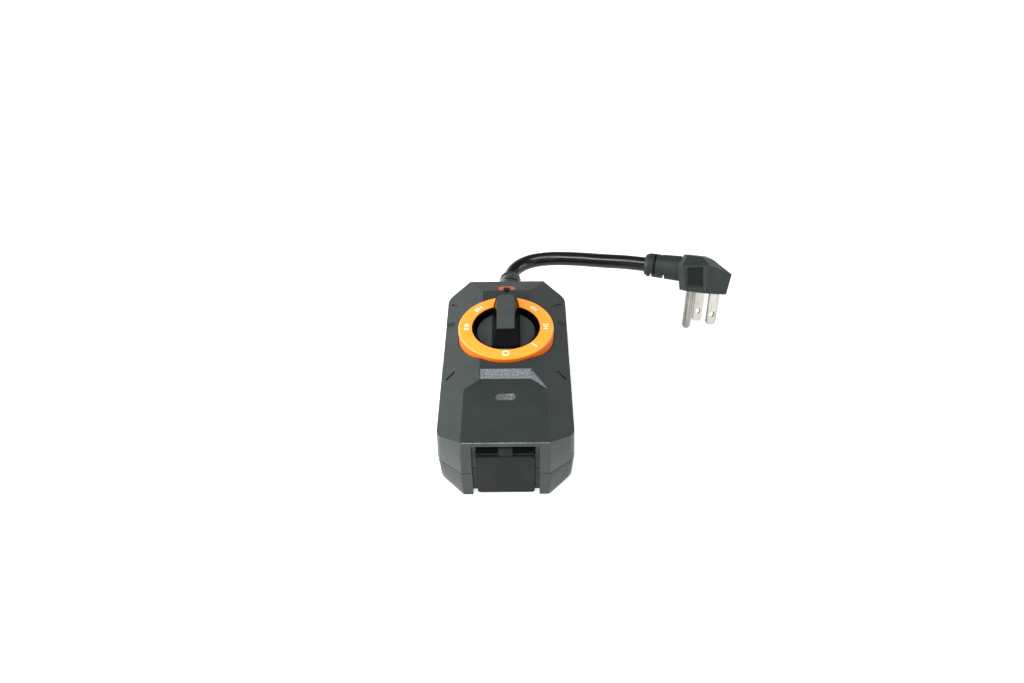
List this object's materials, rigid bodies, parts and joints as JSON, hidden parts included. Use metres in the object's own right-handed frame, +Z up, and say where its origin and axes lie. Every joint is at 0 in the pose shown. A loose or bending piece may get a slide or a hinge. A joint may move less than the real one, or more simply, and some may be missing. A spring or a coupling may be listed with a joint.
{
  "type": "outdoor plug-in timer",
  "caption": "Outdoor plug-in countdown timer box with a rotary dial, a light sensor, a covered earthed outlet and a short cord with an angled plug.",
  "frame": {"origin": "on the table under the middle of the casing, without the cord and what is on it", "axes": "+X to the right, +Y towards the end where the cord leaves, +Z up through the dial; the outlet faces -Y"},
  "size_m": [0.1608, 0.17, 0.0472],
  "materials": {
    "casing_plastic": "fine matt grain, dark green-grey",
    "dial_plastic": "smooth orange",
    "knob_plastic": "fine matt grain, dark grey",
    "switch_plastic": "plain black",
    "outlet_plastic": "dark grey, satin",
    "cover_rubber": "soft dark grey",
    "relief_rubber": "moulded dark grey, satin",
    "cord_jacket": "glossy near black",
    "seal_rubber": "soft black",
    "screw_steel": "zinc plated",
    "contact_brass": "stamped",
    "pin_metal": "nickel plated brass",
    "clear_lens": "clear moulded lens",
    "amber_lens": "tinted orange lens",
    "lamp_lens": "milky lamp body",
    "board": "green circuit board",
    "component_black": "moulded black",
    "component_amber": "dipped brown-orange",
    "component_blue": "dipped blue",
    "fuse_glass": "glass tube fuse with metal caps",
    "wire_black": "insulated wire",
    "wire_white": "insulated wire",
    "wire_green": "insulated wire"
  },
  "bodies": {
    "casing": {"upper_casing": "casing_plastic", "lower_casing": "casing_plastic", "casing_seal": "seal_rubber", "casing_screws": "screw_steel", "switch_body": "switch_plastic", "dial_arrow": "knob_plastic", "sensor_lens": "clear_lens", "indicator_lens": "amber_lens", "sensor_board": "board", "sensor_board_screws": "screw_steel", "photocell": "component_amber", "sensor_lamp": "lamp_lens", "status_lamp": "lamp_lens", "main_board": "board", "board_screws": "screw_steel", "relay": "component_black", "film_capacitor": "component_amber", "can_capacitor": "component_black", "varistor": "component_blue", "fuse": "fuse_glass", "fuse_clips": "contact_brass", "control_chip": "component_black", "board_tabs": "contact_brass", "outlet_housing": "outlet_plastic", "hot_contact": "contact_brass", "neutral_contact": "contact_brass", "ground_contact": "contact_brass", "cover_anchor": "cover_rubber", "line_wire": "wire_black", "neutral_wire": "wire_white", "ground_wire": "wire_green", "load_wire": "wire_black", "lamp_wire": "wire_white", "sensor_wire": "wire_white", "cord_clamp": "switch_plastic", "clamp_screws": "screw_steel", "cord_strain_relief": "relief_rubber", "cord_tail": "cord_jacket", "power_cord": "cord_jacket", "plug_strain_relief": "relief_rubber", "plug_body": "relief_rubber", "plug_hot_blade": "pin_metal", "plug_neutral_blade": "pin_metal", "plug_earth_pin": "pin_metal"},
    "dial": {"dial_ring": "dial_plastic", "dial_knob": "knob_plastic", "dial_seal": "seal_rubber", "dial_clip": "screw_steel", "switch_rotor": "switch_plastic", "switch_wiper": "contact_brass"},
    "cover": {"outlet_cover": "cover_rubber"}
  },
  "joints": [
    {"name": "dial_turn", "type": "hinge", "parent": "casing", "child": "dial", "pos_m": [0, 0.0148, 0.031], "axis": [0, 0, 1], "range_deg": [-90, 180]},
    {"name": "cover_swing", "type": "hinge", "parent": "casing", "child": "cover", "pos_m": [0, -0.0572, 0.031], "axis": [-1, 0, 0], "range_deg": [0, 110], "stiffness_Nm_per_rad": 0.004}
  ]
}
